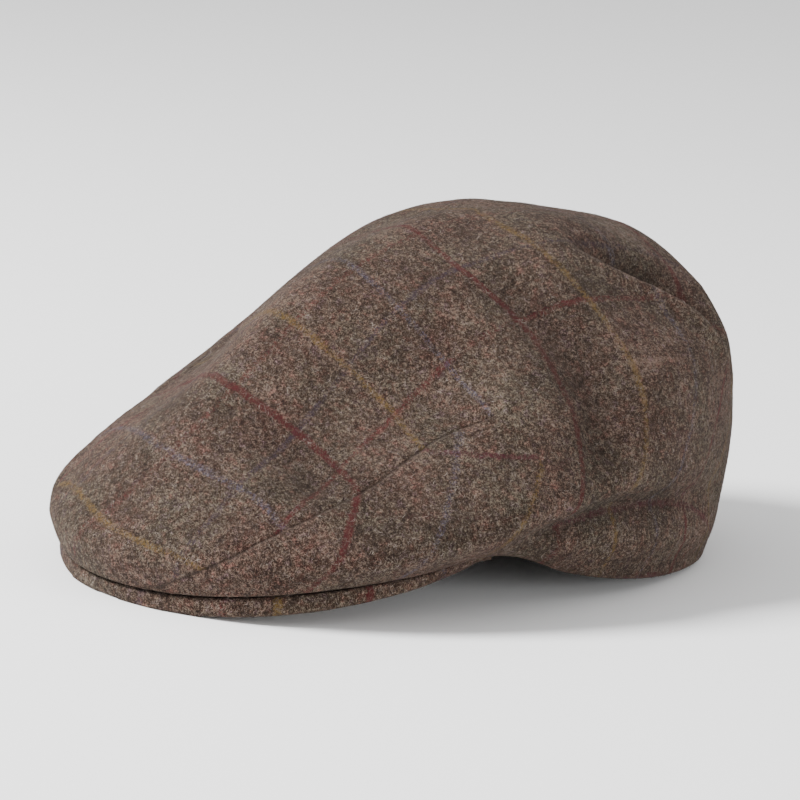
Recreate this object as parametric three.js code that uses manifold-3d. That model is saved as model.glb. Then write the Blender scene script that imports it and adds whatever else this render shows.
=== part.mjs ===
// Flat cap of checked tweed: a crown, two side panels and a cloth-covered peak.
// Millimetres, +Z up, the peak points to -Y, the wearer's left is +X.
// The cap rests on the front of its peak and on the hem at the nape.
import * as THREE from "three";
import Module from "manifold-3d";

// Named sizes
const CAP_LENGTH = 270;
const CAP_WIDTH = 194;
const CAP_HEIGHT = 121.6;
// the highest point of the crown lies this far behind the middle
const TOP_BACK = 31.6;
// moves the finished cap so that its box is centred over the origin
const CENTRE_X = 0.29;
const CENTRE_Y = -2.06;
const CLOTH_THICKNESS = 2;
const HEM_THICKNESS = 3.2;
const HEM_DEPTH = 12;
const SEAM_GAP = 0.35;
// the panels' front tips lie this far from the middle
const PANEL_TIP_HALF = 14;
// the cutting block reaches this far below the cap
const PANEL_BLOCK_DROP = 10;
// the hem is this thick from here round the back
const HEM_START_ANGLE = 80;
// cloth and board closer to the surface than this lie flat on it
const REST_FLAT = 0.45;
// reach of the first two rings of the crown, as a share of the outline
const CREST_REACH = 0.36;
const SHOULDER_REACH = 0.7;
const PEAK_DEPTH = 60;
const PEAK_THICKNESS = 6.4;
// the board is thinner at its inner edge by this share
const PEAK_THINNING = 0.35;
const PEAK_HALF_OPENING = 76.2;
// the board's inner edge ends this far behind its outer edge
const PEAK_CORNER = 2;
const PEAK_INNER_RISE = 8;
// the board's rise starts gently: its height follows this power of the share across
const PEAK_RISE_POWER = 1.7;
// the strip's lower corner lies this far inside its upper corner
const EDGE_ROUND = 0.7;

// How finely the cloth is cut into facets
const AROUND = 76;
const DOWN = 26;
const EDGE_FADE_ROWS = 2;
const PEAK_STEPS = 44;
const CORNER_FACETS = 16;
const PEAK_SHARES = [0, 0.12, 0.34, 0.56, 0.78, 1];

// Sections of the crown by angle from the front, mirrored to the other side.
// Reaches are shares of the outline, heights are shares of the cap's height.
const SECTIONS = {
  names: ["angle", "crestHeight", "shoulderHeight", "browReach", "browHeight", "bulgeReach", "bulgeHeight"],
  rows: [
    [0, 0.9, 0.573, 0.919, 0.269, 0.989, 0.14],
    [30, 0.879, 0.495, 0.921, 0.293, 1.001, 0.156],
    [60, 0.887, 0.529, 0.903, 0.367, 1.017, 0.195],
    [90, 0.948, 0.733, 0.9, 0.539, 1.014, 0.341],
    [120, 0.983, 0.797, 0.933, 0.625, 0.978, 0.391],
    [150, 0.983, 0.849, 0.94, 0.63, 0.991, 0.436],
    [180, 0.982, 0.902, 0.884, 0.667, 1.005, 0.471],
  ],
};

// The lower edge of crown and side panels, in the same shares.
const EDGE = {
  names: ["angle", "reach", "height"],
  rows: [
    [0, 0.965, 0.045],
    [20, 0.968, 0.053],
    [40, 0.978, 0.088],
    [58, 0.932, 0.128],
    [75, 0.869, 0.164],
    [90, 0.87, 0.085],
    [110, 0.893, 0.027],
    [135, 0.918, 0.006],
    [155, 0.905, 0],
    [180, 0.875, 0],
  ],
};

// Folds and dents of the soft crown: each is a line over the cloth with a row for each of its points.
// Shares are along the meridian; widths and depths are shares of the fold's full size.
// A depth below zero raises the cloth.
const FOLD_WIDTH = 12;
const FOLD_DEPTH = 7;
const FOLDS = {
  names: ["angle", "share", "halfWidth", "depth"],
  // valley pressed into the back beside the middle
  backValley: [
    [108, 0.2, 0.8, 0],
    [122, 0.28, 0.8, 0.6],
    [137, 0.4, 0.8, 1.3],
    [140, 0.51, 0.68, 1.15],
    [140, 0.6, 0.5, 0.6],
    [142, 0.68, 0.4, 0],
  ],
  // ridge on the valley's near side
  nearRidge: [
    [100, 0.23, 0.5, 0],
    [117, 0.325, 0.45, -0.4],
    [126, 0.4, 0.45, -0.6],
    [130, 0.49, 0.45, -0.6],
    [133, 0.58, 0.45, -0.35],
    [141, 0.66, 0.45, 0],
  ],
  // ridge on its far side
  farRidge: [
    [175, 0.31, 0.8, 0],
    [163, 0.41, 0.8, -0.3],
    [155, 0.48, 0.7, -0.5],
    [149, 0.58, 0.5, -0.25],
    [147, 0.68, 0.5, 0],
  ],
  // fold where the crown bags over the band at the nape
  napeFold: [
    [74, 0.96, 0.5, 0.1],
    [82, 0.91, 0.5, 0.6],
    [91, 0.86, 0.5, 0.9],
    [98, 0.835, 0.5, 0.95],
    [110, 0.83, 0.5, 0.7],
    [122, 0.835, 0.5, 0.4],
    [136, 0.83, 0.45, 0],
  ],
  // hollow above the front of the side panel
  frontHollow: [
    [20, 0.65, 0.8, 0],
    [31, 0.71, 0.85, 0.45],
    [39, 0.765, 0.85, 0.65],
    [46, 0.82, 0.7, 0],
  ],
  // upright hollow behind the side panel
  sideHollow: [
    [62, 0.28, 0.9, 0],
    [80, 0.37, 0.9, 0.5],
    [90, 0.5, 1, 0.85],
    [94, 0.62, 1.05, 0.9],
    [93, 0.7, 1, 0.8],
    [87, 0.84, 0.9, 0],
  ],
  // swell at the upper corner of the side panel
  panelSwell: [
    [70, 0.46, 1, 0],
    [72, 0.6, 1.1, -0.4],
    [72, 0.74, 1, 0],
  ],
};

// Outline of the left side panel seen from the side: its seam from the front tip to the hem behind.
const PANEL_SEAM = {
  names: ["alongLength", "upHeight"],
  rows: [
    [-0.4704, 0.0411],
    [-0.463, 0.1003],
    [-0.45, 0.1447],
    [-0.4315, 0.1834],
    [-0.4037, 0.2253],
    [-0.3704, 0.2648],
    [-0.337, 0.2977],
    [-0.3037, 0.3306],
    [-0.2652, 0.3701],
    [-0.2126, 0.426],
    [-0.1593, 0.4819],
    [-0.113, 0.5329],
    [-0.0689, 0.5839],
    [-0.0704, 0.5345],
    [-0.0719, 0.4688],
    [-0.0704, 0.3988],
    [-0.0615, 0.3125],
    [-0.0378, 0.2089],
    [0.003, 0.0822],
  ],
};

// The peak's strip below the crown's edge: how far it is set in and how thick it is, as shares of its thickness.
const PEAK_STRIP = {
  names: ["angle", "setIn", "thickness"],
  rows: [
    [0, 0.17, 0.83],
    [18, 0.13, 0.94],
    [34, 0.1, 1],
    [50, 0.1, 0.91],
    [62, 0.17, 0.62],
    [74, 0.4, 0.3],
  ],
};

const degrees = (value) => (value * Math.PI) / 180;
const foldAngle = (angle) => Math.abs(((angle + 540) % 360) - 180);

// One value of the cubic between two rows with the slopes m0 and m1.
function cubic(p0, p1, m0, m1, f) {
  const a = 2 * f ** 3 - 3 * f ** 2 + 1;
  const b = f ** 3 - 2 * f ** 2 + f;
  const c = -2 * f ** 3 + 3 * f ** 2;
  const d = f ** 3 - f ** 2;
  return a * p0 + b * m0 + c * p1 + d * m1;
}

// Reads a table at an angle; level at both ends, so the two halves meet smoothly.
function readTable(table, angle) {
  const rows = table.rows;
  const last = rows.length - 1;
  const at = Math.min(foldAngle(angle), rows[last][0]);
  let i = 0;
  while (i < last - 1 && rows[i + 1][0] <= at) i += 1;
  const step = rows[i + 1][0] - rows[i][0];
  const f = (at - rows[i][0]) / step;
  const slope = (k, column) => {
    if (k === 0 || k === last) return 0;
    const before = rows[k][0] - rows[k - 1][0];
    const after = rows[k + 1][0] - rows[k][0];
    const rise0 = (rows[k][column] - rows[k - 1][column]) / before;
    const rise1 = (rows[k + 1][column] - rows[k][column]) / after;
    return (rise0 * after + rise1 * before) / (before + after);
  };
  const out = {};
  table.names.forEach((name, column) => {
    const m0 = slope(i, column) * step;
    const m1 = slope(i + 1, column) * step;
    out[name] = cubic(rows[i][column], rows[i + 1][column], m0, m1, f);
  });
  return out;
}

// A point at a share of the outline, an angle from the front and a height.
function place(reach, angle, height) {
  const a = degrees(angle);
  const x = (reach * Math.sin(a) * CAP_WIDTH) / 2;
  const y = TOP_BACK * (1 - reach) - (reach * Math.cos(a) * CAP_LENGTH) / 2;
  return new THREE.Vector3(x, y, height);
}

// The meridian at an angle: knots from the top of the crown to its lower edge.
function meridian(angle) {
  const s = readTable(SECTIONS, angle);
  const e = readTable(EDGE, angle);
  const knots = [
    place(0, angle, CAP_HEIGHT),
    place(CREST_REACH, angle, s.crestHeight * CAP_HEIGHT),
    place(SHOULDER_REACH, angle, s.shoulderHeight * CAP_HEIGHT),
    place(s.browReach, angle, s.browHeight * CAP_HEIGHT),
    place(s.bulgeReach, angle, s.bulgeHeight * CAP_HEIGHT),
    place(e.reach, angle, Math.max(0, e.height) * CAP_HEIGHT),
  ];
  const lengths = [0];
  const slopes = [];
  for (let i = 1; i < knots.length; i += 1) {
    const span = knots[i].clone().sub(knots[i - 1]);
    lengths.push(lengths[i - 1] + span.length());
    slopes.push(span.normalize());
  }
  const tangents = knots.map((knot, i) => {
    if (i === 0) return slopes[0].clone().setZ(0);
    if (i === knots.length - 1) return null;
    const before = lengths[i] - lengths[i - 1];
    const after = lengths[i + 1] - lengths[i];
    const mix = slopes[i - 1].clone().multiplyScalar(after);
    return mix.addScaledVector(slopes[i], before).divideScalar(before + after);
  });
  const end = knots.length - 1;
  tangents[end] = slopes[end - 1].clone().multiplyScalar(1.5).addScaledVector(tangents[end - 1], -0.5);
  return { knots, lengths, tangents };
}

function pointAlong(line, share) {
  const at = share * line.lengths[line.lengths.length - 1];
  let i = 0;
  while (i < line.knots.length - 2 && line.lengths[i + 1] <= at) i += 1;
  const step = line.lengths[i + 1] - line.lengths[i];
  const f = (at - line.lengths[i]) / step;
  const out = new THREE.Vector3();
  for (const axis of ["x", "y", "z"]) {
    const m0 = line.tangents[i][axis] * step;
    const m1 = line.tangents[i + 1][axis] * step;
    out[axis] = cubic(line.knots[i][axis], line.knots[i + 1][axis], m0, m1, f);
  }
  return out;
}

// How far the folds press the cloth in at a point.
const foldNames = Object.keys(FOLDS).filter((name) => name !== "names");
const foldLines = foldNames.map((name) =>
  FOLDS[name].map(([angle, share, halfWidth, depth]) => ({
    at: pointAlong(meridian(angle), share),
    halfWidth: halfWidth * FOLD_WIDTH,
    depth: depth * FOLD_DEPTH,
  })),
);

function pressedIn(point) {
  let press = 0;
  for (const rows of foldLines) {
    let nearest = Infinity;
    let here = 0;
    for (let i = 0; i < rows.length - 1; i += 1) {
      const line = new THREE.Line3(rows[i].at, rows[i + 1].at);
      const f = line.closestPointToPointParameter(point, true);
      const away = line.at(f, new THREE.Vector3()).distanceTo(point);
      if (away >= nearest) continue;
      nearest = away;
      const halfWidth = rows[i].halfWidth + (rows[i + 1].halfWidth - rows[i].halfWidth) * f;
      const depth = rows[i].depth + (rows[i + 1].depth - rows[i].depth) * f;
      here = depth * Math.exp(-((away / halfWidth) ** 2));
    }
    press += here;
  }
  return press;
}

// The crown's two skins as rings of points, outer and inner, from the top down.
function capSkins() {
  const base = [];
  for (let i = 0; i < AROUND; i += 1) {
    const line = meridian((i * 360) / AROUND);
    const column = [];
    for (let j = 0; j <= DOWN; j += 1) column.push(pointAlong(line, j / DOWN));
    base.push(column);
  }
  const normalsOf = (grid) =>
    grid.map((column, i) =>
      column.map((point, j) => {
        if (j === 0) return new THREE.Vector3(0, 0, 1);
        const before = grid[(i + AROUND - 1) % AROUND][j];
        const after = grid[(i + 1) % AROUND][j];
        const around = after.clone().sub(before);
        const down = column[Math.min(j + 1, DOWN)].clone().sub(column[j - 1]);
        return down.cross(around).normalize();
      }),
    );
  const baseNormals = normalsOf(base);
  const outer = base.map((column, i) =>
    column.map((point, j) => {
      const edgeFade = Math.min(1, (DOWN - j) / EDGE_FADE_ROWS);
      const press = pressedIn(point) * edgeFade;
      return point.clone().addScaledVector(baseNormals[i][j], -press);
    }),
  );
  const normals = normalsOf(outer);
  const inner = outer.map((column, i) =>
    column.map((point, j) => {
      const left = column[DOWN].distanceTo(point);
      const angle = foldAngle((i * 360) / AROUND);
      const folded = angle > HEM_START_ANGLE && left < HEM_DEPTH;
      const thick = folded ? HEM_THICKNESS : CLOTH_THICKNESS;
      const moved = point.clone().addScaledVector(normals[i][j], -thick);
      if (j === DOWN && point.z < REST_FLAT) moved.z = point.z;
      moved.z = Math.max(0, moved.z);
      return moved;
    }),
  );
  return { outer, inner };
}

// Triangles between two skins joined along their lower rim, as one closed shell.
function shellMesh(skins) {
  const points = [];
  const faces = [];
  const index = (skin, i, j) => {
    const start = skin * (1 + AROUND * DOWN);
    if (j === 0) return start;
    return start + 1 + ((i + AROUND) % AROUND) * DOWN + (j - 1);
  };
  for (const skin of [skins.outer, skins.inner]) {
    points.push(skin[0][0]);
    for (const column of skin) points.push(...column.slice(1));
  }
  for (let i = 0; i < AROUND; i += 1) {
    for (let j = 0; j < DOWN; j += 1) {
      const outer = [index(0, i, j), index(0, i, j + 1), index(0, i + 1, j + 1), index(0, i + 1, j)];
      const inner = [index(1, i, j), index(1, i, j + 1), index(1, i + 1, j + 1), index(1, i + 1, j)];
      faces.push([outer[0], outer[1], outer[2]]);
      faces.push([inner[0], inner[2], inner[1]]);
      if (j > 0) {
        faces.push([outer[0], outer[2], outer[3]]);
        faces.push([inner[0], inner[3], inner[2]]);
      }
    }
    const rim = [index(0, i, DOWN), index(1, i, DOWN), index(1, i + 1, DOWN), index(0, i + 1, DOWN)];
    faces.push([rim[0], rim[1], rim[2]]);
    faces.push([rim[0], rim[2], rim[3]]);
  }
  return { points, faces };
}

const wasm = await Module();
wasm.setup();

function solidFrom(mesh) {
  const vertProperties = new Float32Array(mesh.points.flatMap((p) => [p.x, p.y, p.z]));
  const triVerts = new Uint32Array(mesh.faces.flat());
  const data = new wasm.Mesh({ numProp: 3, vertProperties, triVerts });
  const solid = new wasm.Manifold(data);
  return solid.volume() < 0 ? flipped(mesh) : solid;
}

function flipped(mesh) {
  return solidFrom({ points: mesh.points, faces: mesh.faces.map(([a, b, c]) => [a, c, b]) });
}

// A block whose side view is the panel's outline, standing on one side of the cap.
function panelBlock(grow, side) {
  const outline = PANEL_SEAM.rows.map(([along, up]) => [along * CAP_LENGTH, up * CAP_HEIGHT]);
  const first = outline[0];
  const last = outline[outline.length - 1];
  const below = -PANEL_BLOCK_DROP;
  const closed = [...outline, [last[0], below], [first[0], below]].reverse();
  const flat = new wasm.CrossSection([closed], "Positive").offset(grow, "Round", 2, CORNER_FACETS);
  const block = flat.extrude(CAP_WIDTH);
  const start = side > 0 ? PANEL_TIP_HALF : -PANEL_TIP_HALF - CAP_WIDTH;
  // the outline's two axes become length and height, the extrusion becomes width
  return block.transform([0, 1, 0, 0, 0, 0, 1, 0, 1, 0, 0, 0, start, 0, 0, 1]);
}

// The peak: a board from the crown's front edge back to the head opening.
function peakMesh() {
  const span = PEAK_STRIP.rows[PEAK_STRIP.rows.length - 1][0];
  const points = [];
  const faces = [];
  const across = PEAK_SHARES.length - 1;
  const ring = 2 * across + 2;
  const corner = readTable(EDGE, span);
  const rear = place(corner.reach, span, 0);
  const front = place(readTable(EDGE, 0).reach, 0, 0);
  for (let i = 0; i <= PEAK_STEPS; i += 1) {
    const angle = -span + (2 * span * i) / PEAK_STEPS;
    const strip = readTable(PEAK_STRIP, angle);
    const edge = readTable(EDGE, angle);
    const outer = place(edge.reach, angle, edge.height * CAP_HEIGHT - SEAM_GAP);
    const inward = new THREE.Vector3(-outer.x, -outer.y, 0).normalize();
    outer.addScaledVector(inward, strip.setIn * PEAK_THICKNESS);
    const turn = degrees((90 * angle) / span);
    const innerY = rear.y + PEAK_CORNER - (rear.y - front.y - PEAK_DEPTH) * Math.cos(turn);
    const inner = new THREE.Vector3(PEAK_HALF_OPENING * Math.sin(turn), innerY, outer.z);
    const rise = PEAK_INNER_RISE * Math.cos(turn) ** 2;
    const top = [];
    const bottom = [];
    PEAK_SHARES.forEach((share, k) => {
      const point = outer.clone().lerp(inner, share);
      point.z = outer.z + rise * share ** PEAK_RISE_POWER;
      const under = point.clone();
      under.z -= strip.thickness * PEAK_THICKNESS * (1 - PEAK_THINNING * share);
      // the board's front is flat where it rests
      if (under.z < REST_FLAT) under.z = 0;
      if (k === 0) under.addScaledVector(inward, EDGE_ROUND);
      top.push(point);
      bottom.push(under);
    });
    points.push(...top, ...bottom.reverse());
  }
  for (let i = 0; i < PEAK_STEPS; i += 1) {
    for (let k = 0; k < ring; k += 1) {
      const next = (k + 1) % ring;
      const a = i * ring + k;
      const b = i * ring + next;
      const c = (i + 1) * ring + next;
      const d = (i + 1) * ring + k;
      faces.push([a, b, c], [a, c, d]);
    }
  }
  for (const [start, turned] of [[0, true], [PEAK_STEPS * ring, false]]) {
    for (let k = 0; k < across; k += 1) {
      const a = start + k;
      const b = start + k + 1;
      const c = start + ring - 2 - k;
      const d = start + ring - 1 - k;
      if (turned) faces.push([a, c, b], [a, d, c]);
      else faces.push([a, b, c], [a, c, d]);
    }
  }
  return { points, faces };
}

const tweed = () => new THREE.MeshStandardMaterial({ color: 0x6f6259, roughness: 0.95 });

function named(name, solid) {
  const mesh = solid.getMesh();
  const count = mesh.numProp;
  const positions = new Float32Array(mesh.numVert * 3);
  for (let v = 0; v < mesh.numVert; v += 1) {
    positions.set(mesh.vertProperties.subarray(v * count, v * count + 3), v * 3);
  }
  const geometry = new THREE.BufferGeometry();
  geometry.setAttribute("position", new THREE.BufferAttribute(positions, 3));
  geometry.setIndex(new THREE.BufferAttribute(mesh.triVerts, 1));
  geometry.computeVertexNormals();
  const piece = new THREE.Mesh(geometry, tweed());
  piece.name = name;
  return piece;
}

const shell = solidFrom(shellMesh(capSkins()));
const sidePanelLeft = shell.intersect(panelBlock(0, 1));
const sidePanelRight = shell.intersect(panelBlock(0, -1));
const crown = shell.subtract(panelBlock(SEAM_GAP, 1)).subtract(panelBlock(SEAM_GAP, -1));
const peak = solidFrom(peakMesh());

const cap = new THREE.Group();
cap.name = "flat_cap";
cap.position.set(CENTRE_X, CENTRE_Y, 0);
cap.add(named("crown", crown));
cap.add(named("side_panel_left", sidePanelLeft));
cap.add(named("side_panel_right", sidePanelRight));
cap.add(named("peak", peak));

export default cap;
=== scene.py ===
import math
from types import SimpleNamespace

import bpy
import numpy as np
from mathutils import Matrix, Vector, noise


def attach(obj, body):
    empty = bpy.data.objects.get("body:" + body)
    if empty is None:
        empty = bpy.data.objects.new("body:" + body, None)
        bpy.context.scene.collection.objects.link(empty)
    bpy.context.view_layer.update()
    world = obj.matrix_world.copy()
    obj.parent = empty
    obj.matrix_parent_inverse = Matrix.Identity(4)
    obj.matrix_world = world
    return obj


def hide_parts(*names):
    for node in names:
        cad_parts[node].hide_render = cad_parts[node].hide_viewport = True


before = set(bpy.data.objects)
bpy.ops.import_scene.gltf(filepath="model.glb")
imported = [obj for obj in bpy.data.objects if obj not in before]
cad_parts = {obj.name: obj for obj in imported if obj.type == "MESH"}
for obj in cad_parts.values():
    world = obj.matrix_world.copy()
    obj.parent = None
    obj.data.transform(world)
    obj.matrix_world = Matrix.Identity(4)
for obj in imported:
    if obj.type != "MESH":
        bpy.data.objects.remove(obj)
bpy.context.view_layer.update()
MM = 0.001

# The crown and the two side panels
# One soft skin of wool tweed: a large crown piece and a three-cornered panel sewn in on each side.
# The skin is shaped from sections round the head, with the dents and folds of the worn cloth.
CAP_LENGTH = 270.0
CAP_WIDTH = 194.0
CAP_HEIGHT = 121.6
TOP_BACK = 31.6
CENTRE = np.array([0.29, -2.06, 0.0])
CREST_REACH = 0.36
SHOULDER_REACH = 0.7
CLOTH = 2.0
HEM_DEPTH = 12.0
# the skin's grid: points round the head and down each meridian, and the last rows where folds fade out
AROUND = 432
DOWN = 196
FADE_ROWS = 14

# angle from the front, then crest and shoulder height, brow and bulge reach and height
SECTIONS = np.array(
    [
        [0, 0.9, 0.573, 0.919, 0.269, 0.989, 0.14],
        [30, 0.879, 0.495, 0.921, 0.293, 1.001, 0.156],
        [60, 0.887, 0.529, 0.903, 0.367, 1.017, 0.195],
        [90, 0.948, 0.733, 0.9, 0.539, 1.014, 0.341],
        [120, 0.983, 0.797, 0.933, 0.625, 0.978, 0.391],
        [150, 0.983, 0.849, 0.94, 0.63, 0.991, 0.436],
        [180, 0.982, 0.902, 0.884, 0.667, 1.005, 0.471],
    ]
)

# angle from the front, reach and height of the lower edge
EDGE = np.array(
    [
        [0, 0.965, 0.045],
        [20, 0.968, 0.053],
        [40, 0.978, 0.088],
        [58, 0.932, 0.128],
        [75, 0.869, 0.164],
        [90, 0.87, 0.085],
        [110, 0.893, 0.027],
        [135, 0.918, 0.006],
        [155, 0.905, 0],
        [180, 0.875, 0],
    ]
)

# each fold is a line over the cloth: angle, share of the meridian, half width and depth as shares
FOLD_WIDTH = 12.0
FOLD_DEPTH = 7.0
BACK_VALLEY = [
    [108, 0.2, 0.8, 0],
    [122, 0.28, 0.8, 0.6],
    [137, 0.4, 0.8, 1.3],
    [140, 0.51, 0.68, 1.15],
    [140, 0.6, 0.5, 0.6],
    [142, 0.68, 0.4, 0],
]
NEAR_RIDGE = [
    [100, 0.23, 0.5, 0],
    [117, 0.325, 0.45, -0.4],
    [126, 0.4, 0.45, -0.6],
    [130, 0.49, 0.45, -0.6],
    [133, 0.58, 0.45, -0.35],
    [141, 0.66, 0.45, 0],
]
# the sharp bottom of the valley, finer than the CAD part's facets
BACK_CREASE = [
    [108, 0.23, 0.3, 0],
    [120, 0.28, 0.32, 0.4],
    [130, 0.36, 0.34, 0.7],
    [136, 0.44, 0.34, 0.8],
    [138, 0.52, 0.32, 0.7],
    [139, 0.6, 0.3, 0.3],
    [141, 0.66, 0.3, 0],
]
FAR_RIDGE = [
    [175, 0.31, 0.8, 0],
    [163, 0.41, 0.8, -0.3],
    [155, 0.48, 0.7, -0.5],
    [149, 0.58, 0.5, -0.25],
    [147, 0.68, 0.5, 0],
]
NAPE_FOLD = [
    [74, 0.96, 0.5, 0.1],
    [82, 0.91, 0.5, 0.6],
    [91, 0.86, 0.5, 0.9],
    [98, 0.835, 0.5, 0.95],
    [110, 0.83, 0.5, 0.7],
    [122, 0.835, 0.5, 0.4],
    [136, 0.83, 0.45, 0],
]
FRONT_HOLLOW = [[20, 0.65, 0.8, 0], [31, 0.71, 0.85, 0.45], [39, 0.765, 0.85, 0.65], [46, 0.82, 0.7, 0]]
SIDE_HOLLOW = [
    [62, 0.28, 0.9, 0],
    [80, 0.37, 0.9, 0.5],
    [90, 0.5, 1, 0.85],
    [94, 0.62, 1.05, 0.9],
    [93, 0.7, 1, 0.8],
    [87, 0.84, 0.9, 0],
]
PANEL_SWELL = [[70, 0.46, 1, 0], [72, 0.6, 1.1, -0.4], [72, 0.74, 1, 0]]
# the band swells a little below the nape fold
BAND_SWELL = [[92, 0.93, 0.5, 0], [106, 0.92, 0.6, -0.25], [128, 0.93, 0.6, -0.25], [150, 0.93, 0.5, 0]]

# side view of the panel's seam, as shares of length and height, from the front tip to the hem behind
PANEL_SEAM = np.array(
    [
        [-0.4704, 0.0411],
        [-0.463, 0.1003],
        [-0.45, 0.1447],
        [-0.4315, 0.1834],
        [-0.4037, 0.2253],
        [-0.3704, 0.2648],
        [-0.337, 0.2977],
        [-0.3037, 0.3306],
        [-0.2652, 0.3701],
        [-0.2126, 0.426],
        [-0.1593, 0.4819],
        [-0.113, 0.5329],
        [-0.0689, 0.5839],
        [-0.0704, 0.5345],
        [-0.0719, 0.4688],
        [-0.0704, 0.3988],
        [-0.0615, 0.3125],
        [-0.0378, 0.2089],
        [0.003, 0.0822],
    ]
)


def curve(f, h, start, start_slope, end, end_slope):
    from_start = (2 * f**3 - 3 * f**2 + 1) * start + (f**3 - 2 * f**2 + f) * start_slope * h
    return from_start + ((-2 * f**3 + 3 * f**2) * end + (f**3 - f**2) * end_slope * h)


def read_table(rows, angles):
    at = np.abs((np.asarray(angles, float) + 180) % 360 - 180)
    x, y = rows[:, 0], rows[:, 1:]
    step = np.diff(x)
    rise = np.diff(y, axis=0) / step[:, None]
    slope = np.zeros_like(y)
    weight = step[:-1] + step[1:]
    slope[1:-1] = (rise[:-1] * step[1:, None] + rise[1:] * step[:-1, None]) / weight[:, None]
    i = np.clip(np.searchsorted(x, at, side="right") - 1, 0, len(step) - 1)
    f = ((at - x[i]) / step[i])[..., None]
    h = step[i][..., None]
    return curve(f, h, y[i], slope[i], y[i + 1], slope[i + 1])


def place(reach, angles, height):
    a = np.radians(angles)
    x = reach * np.sin(a) * CAP_WIDTH / 2
    y = TOP_BACK * (1 - reach) - reach * np.cos(a) * CAP_LENGTH / 2
    return np.stack([x, y, height], -1)


def meridians(angles):
    s = read_table(SECTIONS, angles)
    e = read_table(EDGE, angles)
    none = np.zeros(len(angles))
    reach = np.stack([none, none + CREST_REACH, none + SHOULDER_REACH, s[:, 2], s[:, 4], e[:, 0]], -1)
    height = np.stack([none + 1, s[:, 0], s[:, 1], s[:, 3], s[:, 5], np.maximum(e[:, 1], 0)], -1)
    return place(reach, np.repeat(angles[:, None], 6, 1), height * CAP_HEIGHT)


def points_along(knots, shares):
    span = np.diff(knots, axis=1)
    length = np.linalg.norm(span, axis=2)
    total = np.concatenate([np.zeros((len(length), 1)), np.cumsum(length, 1)], 1)
    slope = span / length[..., None]
    tangent = np.empty_like(knots)
    before, after = length[:, :-1, None], length[:, 1:, None]
    tangent[:, 1:-1] = (slope[:, :-1] * after + slope[:, 1:] * before) / (before + after)
    tangent[:, 0] = slope[:, 0]
    tangent[:, 0, 2] = 0
    tangent[:, -1] = 1.5 * slope[:, -1] - 0.5 * tangent[:, -2]
    at = shares * total[:, -1:]
    i = np.clip((at[..., None] >= total[:, None, :]).sum(-1) - 1, 0, 4)
    row = np.arange(len(length))[:, None]
    h = length[row, i][..., None]
    f = (at[..., None] - total[row, i][..., None]) / h
    at_points = curve(f, h, knots[row, i], tangent[row, i], knots[row, i + 1], tangent[row, i + 1])
    return at_points, total[:, -1]


def surface_point(angle, share):
    knots = meridians(np.array([float(angle)]))
    return points_along(knots, np.array([[share]]))[0][0, 0]


def near_segment(points, start, end):
    along = end - start
    f = np.clip(((points - start) @ along) / (along @ along), 0, 1)
    return np.linalg.norm(points - start - f[..., None] * along, axis=-1), f


def pressed_by(points, fold):
    knots = [surface_point(row[0], row[1]) for row in fold]
    nearest = np.full(points.shape[:-1], 1e9)
    press = np.zeros(points.shape[:-1])
    for k in range(len(fold) - 1):
        away, f = near_segment(points, knots[k], knots[k + 1])
        width = (fold[k][2] + (fold[k + 1][2] - fold[k][2]) * f) * FOLD_WIDTH
        depth = (fold[k][3] + (fold[k + 1][3] - fold[k][3]) * f) * FOLD_DEPTH
        closer = away < nearest
        press = np.where(closer, depth * np.exp(-((away / width) ** 2)), press)
        nearest = np.minimum(nearest, away)
    return press


def grid_normals(grid):
    around = np.roll(grid, -1, 0) - np.roll(grid, 1, 0)
    down = np.gradient(grid, axis=1)
    n = np.cross(down, around)
    n /= np.linalg.norm(n, axis=2)[..., None] + 1e-12
    n[:, 0] = (0, 0, 1)
    return n


angles = np.arange(AROUND) * 360.0 / AROUND
from_front = np.abs((angles + 180) % 360 - 180)
knots = meridians(angles)
lengths = points_along(knots, np.ones((AROUND, 1)))[1]
# the roll of the hem takes the last of each meridian, and is thicker behind the panels
HEM_ROUND = 1.0
HEM_MORE_BEHIND = 0.6
hem_round = HEM_ROUND + HEM_MORE_BEHIND * np.clip((from_front - 70) / 20, 0, 1)
shares = np.linspace(0, 1, DOWN + 1)[None, :] * (1 - hem_round / lengths)[:, None]
skin = points_along(knots, shares)[0]
skin_normals = grid_normals(skin)

pressed = np.zeros(skin.shape[:2])
FOLDS = (
    BACK_VALLEY,
    NEAR_RIDGE,
    BACK_CREASE,
    FAR_RIDGE,
    NAPE_FOLD,
    FRONT_HOLLOW,
    SIDE_HOLLOW,
    PANEL_SWELL,
    BAND_SWELL,
)
for fold in FOLDS:
    pressed += pressed_by(skin, fold)
fade = np.clip((1 - np.linspace(0, 1, DOWN + 1)) * DOWN / FADE_ROWS, 0, 1)
skin = skin - skin_normals * (pressed * fade)[..., None]

# the seam in space: its side view laid on the skin
seam_line = PANEL_SEAM * (CAP_LENGTH, CAP_HEIGHT)
steps = np.concatenate([[0], np.cumsum(np.linalg.norm(np.diff(seam_line, axis=0), axis=1))])
SEAM_STEP = 1.0
fine = np.arange(0, steps[-1], SEAM_STEP)
seam_side = np.stack([np.interp(fine, steps, seam_line[:, k]) for k in (0, 1)], -1)
corner_at = steps[seam_line[:, 1].argmax()]
# towards the panel's upper corner and behind it the seam is pressed flat and hardly shows
FLAT_SEAM = 0.8
FLAT_FROM = 22.0
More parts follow.
